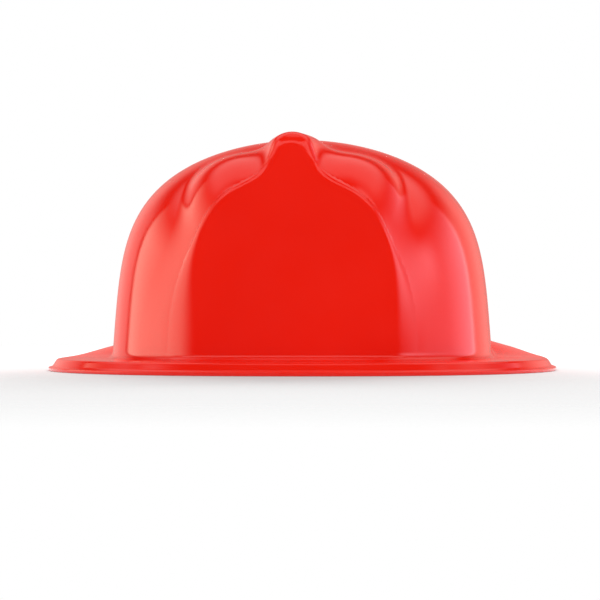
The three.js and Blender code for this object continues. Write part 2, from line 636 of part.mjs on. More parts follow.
function pinionGeometry() {
  const outline = [];
  for (let i = 0; i < PINION_TEETH; i++) {
    const middle = Math.PI / 2 + (2 * Math.PI * i) / PINION_TEETH;
    for (const [radius, offset] of [[3.3, -0.2], [5.2, -0.05], [5.2, 0.05], [3.3, 0.2]])
      outline.push(new THREE.Vector2(radius * Math.cos(middle + offset), radius * Math.sin(middle + offset)));
  }
  const gear = new THREE.ExtrudeGeometry(new THREE.Shape(outline), { depth: 2.95, bevelEnabled: false })
    .rotateX(Math.PI / 2)
    .translate(0, 68.05, 0);
  const nose = barY(2, 63, 65.4, 16);
  const journal = barY(3.4, 67.9, 71.2, 24);
  const hex = barY(3.4, 71, 82, 6);
  return cut(join(gear, nose, journal, hex), barY(1.4, 74, 83, 12)).translate(0, 0, RATCHET_Z);
}

function pawlDiscGeometry() {
  const disc = barY(7, 71.6, 73.4, 24);
  const arm = (angle) => {
    const outline = new THREE.Shape();
    outline.absarc(0, 0, 10.2, 0, 1.9, false);
    outline.lineTo(10.9 * Math.cos(2.05), 10.9 * Math.sin(2.05));
    outline.lineTo(8.6 * Math.cos(2.05), 8.6 * Math.sin(2.05));
    outline.absarc(0, 0, 8.8, 1.9, 0.35, true);
    outline.lineTo(6.4, 2.2);
    outline.lineTo(6.4, 0);
    outline.closePath();
    const made = new THREE.ExtrudeGeometry(outline, { depth: 1.6, bevelEnabled: false, curveSegments: 10 });
    return made.rotateX(Math.PI / 2).translate(0, 73.3, 0).rotateY(angle);
  };
  return cut(join(disc, arm(0), arm(Math.PI)), barY(3.7, 70, 75, 6)).translate(0, 0, RATCHET_Z);
}

const KNOB_GRIPS = 10;
function knobGeometry() {
  const body = barY(KNOB_RADIUS, 71.8, KNOB_FACE, 40);
  const hollow = barY(KNOB_RADIUS - 1.2, 71, 81.4, 36);
  const hub = barY(5.6, 73.7, 82, 24);
  const grips = Array.from({ length: KNOB_GRIPS }, (_, i) => {
    const angle = (2 * Math.PI * i) / KNOB_GRIPS;
    const cutter = barY(3, 82, KNOB_FACE + 1, 10);
    return cutter.translate((KNOB_RADIUS + 1.6) * Math.cos(angle), 0, (KNOB_RADIUS + 1.6) * Math.sin(angle));
  });
  const shell = cut(body, hollow, ...grips);
  return cut(join(shell, hub), barY(3.7, 73, 82.4, 6), barY(1.7, 80, 83.5, 12), barY(3.5, 82.8, 86, 20)).translate(0, 0, RATCHET_Z);
}

// A pan-head screw along Y: its head stands outwards from seatY.
function screwGeometry(seatY, length, shankRadius, headRadius, headHeight) {
  const head = barY(headRadius, seatY, seatY + headHeight, 16);
  const shank = barY(shankRadius, seatY - length, seatY + 0.2, 12);
  const slot = box(-headRadius, headRadius, seatY + headHeight * 0.55, seatY + headHeight + 1, -0.35, 0.35);
  return cut(join(head, shank), slot);
}

const knobScrewGeometry = () => screwGeometry(83.1, 7, 1.1, 3.1, 1).translate(0, 0, RATCHET_Z);
const coverScrewGeometry = ([angle, z]) =>
  turned(screwGeometry(COVER_RADII[1] - 1, 5.6, 1, 2.5, 1).translate(0, 0, z), angle);

const NAPE_PAD_THICKNESS = 5;
const napePadGeometry = () => {
  const back = BASE_RADII[0] - GAP;
  return arcBlock(back - NAPE_PAD_THICKNESS, back, -HOUSING_ANGLE + 1, HOUSING_ANGLE - 1, HOUSING_LOW + 2, HOUSING_HIGH - 2, 12);
};

// ---------------------------------------------------------------- the assembly
const helmet = new THREE.Group();
const add = (name, geometry, material) => {
  const mesh = new THREE.Mesh(geometry, material);
  mesh.name = name;
  helmet.add(mesh);
};

add("shell", shellGeometry(), RED_SHELL);
for (const [side, hand] of [[1, "right"], [-1, "left"]])
  for (const [angle, end] of [[KEY_ANGLES[0], "front"], [KEY_ANGLES[1], "rear"]]) {
    add(`key_socket_${end}_${hand}`, socketGeometry(side * angle), RED_SOCKET);
    add(`suspension_key_${end}_${hand}`, keyGeometry(side * angle), BLACK_NYLON);
  }
add("crown_strap_lower", strapGeometry(1, 0), WHITE_WEBBING);
add("crown_strap_upper", strapGeometry(-1, STRAP_STACK), WHITE_WEBBING);
add("crown_pad", crownPadGeometry(), CHARCOAL_PAD);
add("crown_rivet_stud", rivetStudGeometry(), BLACK_NYLON);
add("crown_rivet_cap", rivetCapGeometry(), BLACK_NYLON);
add("headband", headbandGeometry(), GREY_BAND);
add("brow_pad", browPadGeometry(), CHARCOAL_PAD);
add("strap_tail_left", tailGeometry("left"), GREY_BAND);
add("strap_tail_right", tailGeometry("right"), GREY_BAND);
add("ratchet_base", baseGeometry(), BLACK_NYLON);
add("ratchet_cover", coverGeometry(), BLACK_NYLON);
add("nape_pad", napePadGeometry(), CHARCOAL_PAD);
add("pinion", pinionGeometry(), BLACK_NYLON);
add("pawl_disc", pawlDiscGeometry(), BLACK_NYLON);
add("ratchet_knob", knobGeometry(), BLACK_NYLON);
add("knob_screw", knobScrewGeometry(), STEEL);
screwPlaces().forEach((place, i) => add(`cover_screw_${i + 1}`, coverScrewGeometry(place), STEEL));

export default helmet;
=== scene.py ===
"""Firefighter helmet: the finished look of the shell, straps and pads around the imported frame."""

import math

import bmesh
import bpy
import numpy as np
import openvdb
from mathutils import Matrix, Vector


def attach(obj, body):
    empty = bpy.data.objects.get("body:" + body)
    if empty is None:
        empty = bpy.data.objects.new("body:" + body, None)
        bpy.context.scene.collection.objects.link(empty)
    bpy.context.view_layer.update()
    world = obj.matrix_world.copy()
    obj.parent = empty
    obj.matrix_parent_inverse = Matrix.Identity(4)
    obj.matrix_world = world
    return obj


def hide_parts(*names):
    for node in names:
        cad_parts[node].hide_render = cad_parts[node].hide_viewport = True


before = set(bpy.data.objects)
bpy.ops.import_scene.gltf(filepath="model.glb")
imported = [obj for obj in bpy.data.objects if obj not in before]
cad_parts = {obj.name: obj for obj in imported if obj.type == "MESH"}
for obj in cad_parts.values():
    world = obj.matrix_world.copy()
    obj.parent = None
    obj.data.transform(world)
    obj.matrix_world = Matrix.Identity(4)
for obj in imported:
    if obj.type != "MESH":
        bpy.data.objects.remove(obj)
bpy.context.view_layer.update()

# All shapes below are in millimetres in the frame of the helmet: +Z up, front towards -Y, standing at z = 0.
MM = 0.001
WALL = 1.6
BISECTIONS = 40
SLOPE_STEP = 0.05

# Crown
AXIS_Y = -27.0
CROWN_HALF_WIDTH = 94.0
CROWN_FRONT = 105.0
CROWN_REAR = 125.0
CROWN_HEIGHT = 113.6
CROWN_TAPER = 0.087
FRONT_SQUARENESS = 2.3
REAR_SQUARENESS = 2.2
SIDE_POWER = 1.855
TOP_POWER = 4.73

# Front panel, its bulge and its nub
PANEL_PROUD = 1.5
PANEL_LEAN = 0.085
PANEL_RADIUS = 120.0
PANEL_EDGE = 2.0
PANEL_ARCH = (53.5, 92.5, 2.87)  # half width, height, power
BULGE_ARCH = (62.0, 105.5, 3.9)
BULGE_DEPTH = 45.0
BULGE_POWER = 3.5
BULGE_FADE = 60.0  # depth from which the bulge sinks into the dome
BULGE_FADE_LENGTH = 40
ARCH_BLEND = 17.0
NUB_HALF_WIDTH = 9.7
NUB_TOP = 113.4
NUB_TOP_RADIUS = 12.6
NUB_FALL = 0.05
NUB_NARROWING = 0.05
NUB_SIDE_BLEND = 2.0
PANEL_EDGE_ROUND = (3.0, 8.0, 13.0)  # half way up, over the nub, at the foot
CREASE_ROUND = (2.5, 15.0)  # at the top, at the foot
NUB_HEIGHTS = (99, 110)  # where the rounding over the nub takes over
FOOT_HEIGHTS = (14, 66)  # where the foot's rounding of the panel ends
CREASE_HEIGHTS = (14, 84)  # where the foot's rounding of the crease ends

# The crown's mesh
SCAN_LOW = (-98.0, -137.0, 3.0)
SCAN_SIZE = (196.0, 240.0, 113.0)
SCAN_STEP = 1.2
SCAN_LIMIT = 9.0
LOWEST_SKIN = 3.5

# Brim
BRIM_FRONT = 28.0
BRIM_SIDE = 31.1
BRIM_REAR = 62.0
BRIM_REAR_POWER = 2.2
BRIM_ROOT_FRONT = 6.4
BRIM_ROOT_REAR = 18.0
BRIM_ROOT_RISE = (0.48, 0.82)  # shares of the half turn from front to back
BRIM_DIP = ((0.35, 0.18), (0.7, 0.52))  # shares of the way out and of the drop, from root to crest
ROOT_FILLET = 4.0
CREST_HEIGHT = 5.8
CREST_INSET = 4.2
FLANGE_WIDTH = 1.9
FLANGE_HEIGHT = 2.1
LIP_SLOPE = 0.4
# Tangent lengths of the brim's turns: out along its top to the lip, then back along its underside.
TOP_TURNS = (ROOT_FILLET * 0.9, 3.0, 3.0, 1.1, 0.8, 0.45, 0.3, 0.15)
UNDER_TURNS = (1.4, 3.0, 3.0, ROOT_FILLET * 1.1)
TURN_POINTS = 9
BRIM_COLUMNS = 480
BRIM_ROW_GAP = 3.0

# Suspension
BAND_Y = -26.0
END_RADIUS = 70.0
END_OFFSET = 26.0
BAND_THICKNESS = 1.4
BAND_LOW = 9.0
BAND_HIGH = 29.0
BASE_INNER_RADIUS = 62.8
STRAP_WIDTH = 19.0
STRAP_THICKNESS = 1.2
STRAP_APEX = 86.0
STRAP_STACK = 1.7
STRAP_SPRING = 42.0
STRAP_TUCK = 3.6
STRAP_STEP = 0.8
STRAP_EDGE = 0.45
STITCH_ROWS = (21.0, 23.5, 32.0, 34.5)  # distance of each row from the strap's end
STITCHES_ACROSS = np.arange(-7.2, 7.3, 2.4)
STITCH_HALF = 0.75
STITCH_RADII = (0.06, 0.2, 0.24, 0.2, 0.06)
STITCH_SIDES = 6
STITCH_LIFT = 0.02
SLOT_HIGH = 31.5
KEY_SHOULDER = 41.0
KEY_THICKNESS = 3.0
KEY_WALL_DISTANCE = 9.5
KEY_ANGLES = (50.0, 130.0)
KEY_LEVEL = 50.0

# Pads
PAD_GAP = 0.3
PAD_SPANS = 160
PAD_SIDES = 40
CROWN_PAD_SIDES = 96
CROWN_PAD_PROFILE = (  # distance from the rivet's axis, height from the crown strap
    (3.2, -4.1),
    (8.1, -4.3),
    (8.6, -5.6),
    (9.8, -6.6),
    (13, -7.2),
    (18, -7.5),
    (24, -7.3),
    (28.5, -6.9),
    (30.6, -5.9),
    (31, -4.8),
    (30.6, -3.8),
    (28, -2.6),
    (22, -1.4),
    (14, -0.6),
    (8, -0.2),
    (3.2, -0.1),
)

# Floor, light and camera: metres, degrees
FLOOR_HALF = 1500.0  # millimetres
FLOOR_LEVEL = -0.02  # millimetres
FLOOR_FADE = (0.22, 0.7)
WARM_WHITE = (1, 0.9, 0.86)
SOFTBOX_SIZE = (1.1, 0.25)
SOFTBOX_POWER = 21.0
SOFTBOX_PLACE = (0, 0.95, 0.55)
SOFTBOX_AIM = (0, 0, 0.05)
CAMERA_TURN = 3.2
CAMERA_DISTANCE = 1.5
CAMERA_LENS = 181.4
CAMERA_RISE = 0.0357
CAMERA_AIM = (0.0015, 0.03446)  # to the left, up


# ---------------------------------------------------------------- the crown's surface
def blend_min(a, b, width):
    return np.minimum(a, b) - np.maximum(width - np.abs(a - b), 0) ** 2 / (4 * width)


def blend_max(a, b, width):
    return -blend_min(-a, -b, width)


def smooth(value, low, high):
    share = np.clip((value - low) / (high - low), 0, 1)
    return share * share * (3 - 2 * share)


def gradient(function, x, y, z, step=0.5):
    return np.stack(
        [
            (function(x + step, y, z) - function(x - step, y, z)) / (2 * step),
            (function(x, y + step, z) - function(x, y - step, z)) / (2 * step),
            (function(x, y, z + step) - function(x, y, z - step)) / (2 * step),
        ],
        axis=-1,
    )


def plan_share(x, y):
    """1 on the crown's base outline. y is from the crown's axis."""
    power = np.where(y < 0, FRONT_SQUARENESS, REAR_SQUARENESS)
    length = np.where(y < 0, CROWN_FRONT, CROWN_REAR)
    return ((np.abs(x) / CROWN_HALF_WIDTH) ** power + (np.abs(y) / length) ** power) ** (1 / power)


def dome_level(x, y, z):
    height = np.maximum(z, 0) / CROWN_HEIGHT
    share = plan_share(x, y - AXIS_Y) / (1 - CROWN_TAPER * height)
    return height**TOP_POWER + share**SIDE_POWER - 1


def dome_distance(x, y, z):
    slope = np.linalg.norm(gradient(dome_level, x, y, z), axis=-1)
    return dome_level(x, y, z) / np.maximum(slope, 1e-6)


def panel_y(x, z):
    return AXIS_Y - CROWN_FRONT - PANEL_PROUD + PANEL_LEAN * z + x**2 / (2 * PANEL_RADIUS)


def outline_distance(x, z, depth):
    """Distance outside the panel's outline, which widens with the depth behind the panel."""
    along = 1 - (1 - np.clip(depth / BULGE_DEPTH, 0, 1)) ** BULGE_POWER
    half_width, height, power = (a + (b - a) * along for a, b in zip(PANEL_ARCH, BULGE_ARCH))

    def level(u, w):
        return ((np.abs(u) / half_width) ** power + (np.maximum(w, 0) / height) ** power) ** (1 / power) - 1

    step = 0.5
    slope = np.hypot(level(x + step, z) - level(x - step, z), level(x, z + step) - level(x, z - step))
    arch = level(x, z) * 2 * step / np.maximum(slope, 1e-6)
    centre = NUB_TOP - NUB_TOP_RADIUS - NUB_FALL * depth
    top = np.hypot(x, np.maximum(z - centre, 0)) - NUB_TOP_RADIUS
    nub = blend_max(top, np.abs(x) - NUB_HALF_WIDTH + NUB_NARROWING * depth, NUB_SIDE_BLEND)
    return blend_min(arch, nub, ARCH_BLEND)


def crown_distance(x, y, z):
    """Distance outside the dome joined to the front panel and its bulge; less than 0 is inside."""
    depth = y - panel_y(x, z)
    outline = outline_distance(x, z, np.maximum(depth - PANEL_EDGE, 0))
    edge, over_nub, foot = PANEL_EDGE_ROUND
    foot_share = 1 - smooth(z, *FOOT_HEIGHTS)
    edge = edge + (over_nub - edge) * smooth(z, *NUB_HEIGHTS) + (foot - edge) * foot_share
    panel = blend_max(outline, -depth, edge) + np.maximum(depth - BULGE_FADE, 0) ** 2 / BULGE_FADE_LENGTH
    high, low = CREASE_ROUND
    crease = high + (low - high) * (1 - smooth(z, *CREASE_HEIGHTS))
    return blend_min(dome_distance(x, y, z), panel, crease)


def onto_crown(points, rounds=4):
    """Moves points onto the crown's surface, and gives the outward normals there."""
    for _ in range(rounds):
        slope = gradient(crown_distance, *points.T, step=SLOPE_STEP)
        size = np.maximum((slope**2).sum(1), 1e-6)
        points = points - (crown_distance(*points.T) / size)[:, None] * slope
    slope = gradient(crown_distance, *points.T, step=SLOPE_STEP)
    return points, slope / np.linalg.norm(slope, axis=1)[:, None]


# ---------------------------------------------------------------- the brim's plan
def brim_root(x, y):
    """Height at which the brim leaves the wall, in a direction from the crown's axis."""
    share = np.abs(np.arctan2(x, -(y - AXIS_Y))) / math.pi
    return BRIM_ROOT_FRONT + (BRIM_ROOT_REAR - BRIM_ROOT_FRONT) * smooth(share, *BRIM_ROOT_RISE)


def lip_radius(angle):
    """Distance from the crown's axis to the lip; the angle is from the front."""
    across, lean = math.sin(angle), math.cos(angle)
    if lean > 0:
        width = BRIM_SIDE + (BRIM_FRONT - BRIM_SIDE) * lean**2
    else:
        width = BRIM_SIDE + (BRIM_REAR - BRIM_SIDE) * (-lean) ** BRIM_REAR_POWER
    return 1 / float(plan_share(across, -lean)) + width


# ---------------------------------------------------------------- mesh helpers
def make_object(name, points, faces, normals=None, uv=None):
    mesh = bpy.data.meshes.new(name)
    mesh.from_pydata((np.asarray(points) * MM).tolist(), [], [list(map(int, f)) for f in faces])
    mesh.validate()
    mesh.polygons.foreach_set("use_smooth", [True] * len(mesh.polygons))
    if normals is not None:
        mesh.normals_split_custom_set_from_vertices(np.asarray(normals).tolist())
    if uv is not None:
        layer = mesh.uv_layers.new(name="flat")
        index = np.zeros(len(mesh.loops), int)
        mesh.loops.foreach_get("vertex_index", index)
        layer.data.foreach_set("uv", np.asarray(uv)[index].ravel())
    piece = bpy.data.objects.new(name, mesh)
    bpy.context.scene.collection.objects.link(piece)
    return piece


def outward(piece):
    """Turns a piece's faces to point out."""
    bm = bmesh.new()
    bm.from_mesh(piece.data)
    bmesh.ops.recalc_face_normals(bm, faces=bm.faces)
    bm.to_mesh(piece.data)
    bm.free()
    return piece


def grid_faces(rows, columns, closed_rows=False, closed_columns=False, start=0):
    """Quads of a grid whose points run column by column within each row."""
    faces = []
    for r in range(rows if closed_rows else rows - 1):
        here, below = start + r * columns, start + (r + 1) % rows * columns
        for c in range(columns if closed_columns else columns - 1):
            beside = (c + 1) % columns
            faces.append([here + c, here + beside, below + beside, below + c])
    return faces


def end_caps(start, count, end):
    """The two closing faces of a tube: its first ring and its last, which stops before end."""
    return [list(range(start, start + count)), list(range(end - 1, end - 1 - count, -1))]


def grid_normals(grid):
    """Normals of a grid of points (rows, columns, 3) that closes on itself along its columns."""
    down = np.gradient(grid, axis=0)
    along = np.roll(grid, -1, 1) - np.roll(grid, 1, 1)
    normals = np.cross(along, down)
    return normals / np.maximum(np.linalg.norm(normals, axis=-1), 1e-9)[..., None]


# ---------------------------------------------------------------- shell
def crown_mesh(step):
    """Points, normals and faces of the crown's outer skin, cut off where the brim's fillet starts."""
    low = np.array(SCAN_LOW)
    count = (np.array(SCAN_SIZE) / step).astype(int) + 1
    axes = [low[i] + step * np.arange(count[i]) for i in range(3)]
    values = crown_distance(*np.meshgrid(*axes, indexing="ij"))
    grid = openvdb.FloatGrid(SCAN_LIMIT + 1)
    grid.copyFromArray(np.clip(values, -SCAN_LIMIT, SCAN_LIMIT).astype(np.float32))
    points, quads = grid.convertToQuads(isovalue=0.0)
    points = np.asarray(points, float) * step + low
    keep = points[:, 2] > LOWEST_SKIN
    quads = np.asarray(quads)
    quads = quads[keep[quads].all(1)]
    points, normals = onto_crown(points)
    a, b, c = (points[quads[:, i]] for i in (0, 1, 2))
    facing = (np.cross(b - a, c - a) * normals[quads[:, 0]]).sum()
    if facing < 0:
        quads = quads[:, ::-1]
    warped = points.copy()
    warped[:, 2] -= brim_root(points[:, 0], points[:, 1]) + ROOT_FILLET
    bm = bmesh.new()
    made = [bm.verts.new(p) for p in warped]
    for quad in quads:
        bm.faces.new([made[i] for i in quad])
    whole = list(bm.verts) + list(bm.edges) + list(bm.faces)
    origin, up = (0, 0, 0), (0, 0, 1)
    bmesh.ops.bisect_plane(bm, geom=whole, plane_co=origin, plane_no=up, clear_inner=True, dist=1e-5)
    loose = [v for v in bm.verts if not v.link_faces]
    bmesh.ops.delete(bm, geom=loose, context="VERTS")
    bm.verts.index_update()
    points = np.array([v.co for v in bm.verts])
    faces = [[v.index for v in f.verts] for f in bm.faces]
    bm.free()
    points[:, 2] += brim_root(points[:, 0], points[:, 1]) + ROOT_FILLET
    return *onto_crown(points, rounds=1), faces


def between(a, b, across, down):
    """A point part of the way from a to b, with its own share of the way out and of the drop."""
    return a + (b - a) * np.array([across, down])


def bend(a, corner, b, count):
    """Points of a smooth turn from a to b about a corner."""
    t = np.linspace(0, 1, count)[:, None]
    return (1 - t) ** 2 * a + 2 * t * (1 - t) * corner + t**2 * b


def rounded_line(corners, lengths, count):
    """A line of corners with each inner corner turned smoothly, over a tangent length before and after it."""
    line = [corners[0][None]]
    for before, corner, after, length in zip(corners, corners[1:], corners[2:], lengths):
        back, on = before - corner, after - corner
        start = corner + back / np.linalg.norm(back) * length
        end = corner + on / np.linalg.norm(on) * length
        line.append(bend(start, corner, end, count))
    line.append(corners[-1][None])
    return np.concatenate(line)


def offset_corner(before, corner, after, distance):
    """The corner of the parallel line, to the right of the way from before to after."""
    def right(v):
        v = v / np.linalg.norm(v)
        return np.array([v[1], -v[0]])

    a, b = right(corner - before), right(after - corner)
    return corner + distance * (a + b) / (1 + a @ b)


def brim_mesh(columns):
    """Rows of points from the outer wall over the brim and its lip, and back under it to the inner wall."""
    angles = np.arange(columns) * 2 * math.pi / columns
    outs = np.stack([np.sin(angles), -np.cos(angles)], 1)
    roots = brim_root(outs[:, 0] * 100, AXIS_Y + outs[:, 1] * 100)
    foot = np.stack([outs[:, 0] * 80, AXIS_Y + outs[:, 1] * 80, roots + ROOT_FILLET], 1)
    near, far = np.full(columns, 80.0), np.full(columns, 160.0)
    for _ in range(BISECTIONS):
        middle = (near + far) / 2
        inside = crown_distance(outs[:, 0] * middle, AXIS_Y + outs[:, 1] * middle, foot[:, 2]) < 0
        near, far = np.where(inside, middle, near), np.where(inside, far, middle)
    foot[:, :2] = outs * near[:, None] + [0, AXIS_Y]
    slope = gradient(crown_distance, *foot.T, step=SLOPE_STEP)
    wall_normal = slope / np.linalg.norm(slope, axis=1)[:, None]
    inner_foot = foot - WALL * wall_normal
    grid = []
    for i, angle in enumerate(angles):
        wall, root, lip = near[i], roots[i], lip_radius(angle)
        crest = np.array([lip - CREST_INSET, CREST_HEIGHT])
        draft = -wall_normal[i, 2] / max(wall_normal[i, :2] @ outs[i], 0.5)
        join = np.array([wall, root + ROOT_FILLET])
        corner = np.array([wall - draft * ROOT_FILLET, root])
        upper = [
            join,
            corner,
            *(between(corner, crest, *shares) for shares in BRIM_DIP),
            crest,
            np.array([lip - FLANGE_WIDTH, FLANGE_HEIGHT]),
            np.array([lip, FLANGE_HEIGHT - LIP_SLOPE]),
            np.array([lip, 0.0]),
            np.array([lip - FLANGE_WIDTH, 0.0]),
        ]
        under = [offset_corner(*upper[k - 1 : k + 2], WALL) for k in (4, 3, 2, 1)]
        inner_join = np.array([(inner_foot[i, :2] - [0, AXIS_Y]) @ outs[i], inner_foot[i, 2]])
        corners = upper + under + [inner_join]
        line = rounded_line(corners, TOP_TURNS + UNDER_TURNS, TURN_POINTS)
        column = np.stack([outs[i, 0] * line[:, 0], AXIS_Y + outs[i, 1] * line[:, 0], line[:, 1]], 1)
        column[0], column[-1] = foot[i], inner_foot[i]
        grid.append(column)
    grid = np.stack(grid, 1)
    dense = [grid[0]]
    for row, after in zip(grid, grid[1:]):
        gap = np.linalg.norm(after - row, axis=1).max()
        parts = max(int(gap / BRIM_ROW_GAP), 1)
        dense += [row + (after - row) * k / parts for k in range(1, parts + 1)]
    grid = np.stack(dense)
    normals = grid_normals(grid)
    if (normals[1] * wall_normal).sum() < 0:
        normals = -normals
    normals[0], normals[-1] = wall_normal, -wall_normal
    return grid.reshape(-1, 3), normals.reshape(-1, 3), grid_faces(len(grid), columns, closed_columns=True)


def shell_piece():
    """The whole shell: the crown's outer and inner skins, and the brim that joins them below."""
    points, normals, faces = crown_mesh(SCAN_STEP)
    inner = points - WALL * normals
    inner_faces = [[i + len(points) for i in reversed(f)] for f in faces]
    brim_points, brim_normals, brim_faces = brim_mesh(BRIM_COLUMNS)
    start = 2 * len(points)
    quad = brim_faces[0]
    a, b, c = (brim_points[quad[i]] for i in (0, 1, 2))
    if np.cross(b - a, c - a) @ brim_normals[quad[0]] < 0:
        brim_faces = [f[::-1] for f in brim_faces]
    brim_faces = [[i + start for i in f] for f in brim_faces]
    return make_object(
        "helmet_shell",
        np.concatenate([points, inner, brim_points]),
        faces + inner_faces + brim_faces,
        np.concatenate([normals, -normals, brim_normals]),
    )


# ---------------------------------------------------------------- materials
def node(tree, kind, **settings):
    made = tree.nodes.new(kind)
    for name, value in settings.items():
        if name in made.inputs:
            made.inputs[name].default_value = value
        else:
            setattr(made, name, value)
    return made


def material(name, **settings):
    made = bpy.data.materials.new(name)
    made.use_nodes = True
    tree = made.node_tree
    shader = tree.nodes["Principled BSDF"]
    for key, value in settings.items():
        shader.inputs[key.replace("_", " ")].default_value = value
    return made, tree, shader


def noise(tree, scale, detail=3.0, roughness=0.5):
    where = node(tree, "ShaderNodeTexCoord")
    made = node(tree, "ShaderNodeTexNoise", Scale=scale, Detail=detail, Roughness=roughness)
    tree.links.new(where.outputs["Object"], made.inputs["Vector"])
    return made.outputs["Fac"]


def colours(tree, fac, shader, low, high, start=0.35, end=0.65):
    ramp = node(tree, "ShaderNodeValToRGB")
    first, last = ramp.color_ramp.elements
    first.position, last.position = start, end
    first.color, last.color = (*low, 1), (*high, 1)
    tree.links.new(fac, ramp.inputs["Fac"])
    tree.links.new(ramp.outputs["Color"], shader.inputs["Base Color"])


def rough(tree, fac, shader, low, high):
    span = node(tree, "ShaderNodeMapRange")
    span.inputs["To Min"].default_value, span.inputs["To Max"].default_value = low, high
    tree.links.new(fac, span.inputs["Value"])
    tree.links.new(span.outputs["Result"], shader.inputs["Roughness"])


def bump(tree, height, shader, distance, strength=1.0):
    made = node(tree, "ShaderNodeBump", Strength=strength, Distance=distance)
    tree.links.new(height, made.inputs["Height"])
    tree.links.new(made.outputs["Normal"], shader.inputs["Normal"])


def gloss_red():
    made, tree, shader = material("gloss_red_plastic", IOR=1.5)
    colours(tree, noise(tree, 14.0), shader, (0.905, 0.0088, 0.0009), (0.945, 0.0102, 0.0013))
    rough(tree, noise(tree, 55.0, detail=5.0), shader, 0.1, 0.16)
    bump(tree, noise(tree, 240.0, detail=2.0), shader, 0.00002, strength=0.35)
    return made


def moulded(name, low, high, rough_low, rough_high, grain=900.0):
    made, tree, shader = material(name)
    colours(tree, noise(tree, 60.0), shader, low, high)
    rough(tree, noise(tree, 220.0), shader, rough_low, rough_high)
    bump(tree, noise(tree, grain, detail=4.0), shader, 0.00008, strength=0.5)
    return made


def zinc_steel():
    made, tree, shader = material("zinc_steel", Metallic=1.0)
    colours(tree, noise(tree, 300.0), shader, (0.5, 0.5, 0.52), (0.66, 0.66, 0.68))
    rough(tree, noise(tree, 900.0), shader, 0.22, 0.4)
    bump(tree, noise(tree, 2500.0), shader, 0.00003, strength=0.4)
    return made


def woven(name, low, high, across, along, depth):
    """A weave of threads at right angles, laid out on the strap's flat map in metres."""
    made, tree, shader = material(name, Roughness=0.85, Sheen_Weight=0.35, Sheen_Roughness=0.5)
    flat = node(tree, "ShaderNodeUVMap", uv_map="flat")
    rows = node(tree, "ShaderNodeTexWave", Scale=along, bands_direction="X")
    cords = node(tree, "ShaderNodeTexWave", Scale=across, bands_direction="Y")
    for wave in (rows, cords):
        tree.links.new(flat.outputs["UV"], wave.inputs["Vector"])
    both = node(tree, "ShaderNodeMath", operation="MULTIPLY")
    tree.links.new(rows.outputs["Fac"], both.inputs[0])
    tree.links.new(cords.outputs["Fac"], both.inputs[1])
    fuzz = node(tree, "ShaderNodeMath", operation="ADD")
    tree.links.new(both.outputs["Value"], fuzz.inputs[0])
    tree.links.new(noise(tree, 700.0), fuzz.inputs[1])
    colours(tree, fuzz.outputs["Value"], shader, low, high, start=0.3, end=1.1)
    bump(tree, fuzz.outputs["Value"], shader, depth)
    return made


def cloth(name, low, high):
    """Knitted cloth over foam, with fine raised dots."""
    made, tree, shader = material(name, Roughness=0.9, Sheen_Weight=0.5, Sheen_Roughness=0.4)
    where = node(tree, "ShaderNodeTexCoord")
    cells = node(tree, "ShaderNodeTexVoronoi", Scale=900.0)
    tree.links.new(where.outputs["Object"], cells.inputs["Vector"])
    mixed = node(tree, "ShaderNodeMath", operation="ADD")
    tree.links.new(cells.outputs["Distance"], mixed.inputs[0])
    tree.links.new(noise(tree, 150.0), mixed.inputs[1])
    colours(tree, mixed.outputs["Value"], shader, low, high, start=0.4, end=1.2)
    bump(tree, mixed.outputs["Value"], shader, 0.00025)
    return made


RED = gloss_red()
SOCKET_RED = moulded("satin_red_plastic", (0.62, 0.012, 0.006), (0.72, 0.016, 0.008), 0.32, 0.45)
NYLON = moulded("black_nylon", (0.012, 0.012, 0.013), (0.024, 0.024, 0.026), 0.38, 0.55)
BAND = moulded("charcoal_band", (0.024, 0.025, 0.028), (0.038, 0.039, 0.043), 0.42, 0.6, grain=1400.0)
STEEL = zinc_steel()
WEBBING = woven("strap_webbing", (0.3, 0.29, 0.26), (0.68, 0.66, 0.6), 190.0, 260.0, 0.0003)
PAD_CLOTH = cloth("pad_cloth", (0.012, 0.0125, 0.014), (0.055, 0.057, 0.063))
THREAD, THREAD_TREE, THREAD_SHADER = material("thread", Roughness=0.7)
colours(THREAD_TREE, noise(THREAD_TREE, 3000.0), THREAD_SHADER, (0.35, 0.34, 0.31), (0.6, 0.58, 0.53))


def finish_piece(piece, body, surface, slot, *nodes):
    piece.data.materials.append(surface)
    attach(piece, body)
    if nodes:
        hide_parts(*nodes)


# ---------------------------------------------------------------- straps
def dome_radius(angle, height):
    """Distance from the crown's axis to the dome's outside, in a direction from the front."""
    turn = math.radians(angle)
    near, far = 0.0, 220.0
    for _ in range(BISECTIONS):
        middle = (near + far) / 2
        inside = dome_level(math.sin(turn) * middle, AXIS_Y - math.cos(turn) * middle, height) < 0
        near, far = (middle, far) if inside else (near, middle)
    return far


def key_face(angle):
    return dome_radius(angle, KEY_LEVEL) - WALL - KEY_WALL_DISTANCE


def strap_end(angle):
    """Points (from the crown's axis, up) of the loop of strap that goes round a key."""
    face = key_face(angle)
    inside, outside, under = face - 1, face + KEY_THICKNESS + 1, SLOT_HIGH - 1
    return [
        (outside, KEY_SHOULDER - 1),
        (outside, under + 1.6),
        (outside - 0.7, under + 0.3),
        (outside - 1.7, under),
        (inside + 1.7, under),
        (inside + 0.7, under + 0.3),
        (inside, under + 1.6),
        (inside, 36),
        (inside - 1.2, 39),
    ]


def strap_line(lift):
    """Points (across, up) of a strap's middle, from its front hem over the crown to its rear hem."""
    front, rear = KEY_ANGLES
    arc = []
    for turn in np.linspace(0, math.pi, 49):
        reach = key_face(front if turn < math.pi / 2 else rear) - STRAP_TUCK
        rise = STRAP_APEX + lift - STRAP_SPRING
        arc.append((math.cos(turn) * reach, STRAP_SPRING + rise * math.sin(turn)))
    back = [(-x, z) for x, z in reversed(strap_end(rear))]
    return np.array(strap_end(front) + arc + back)


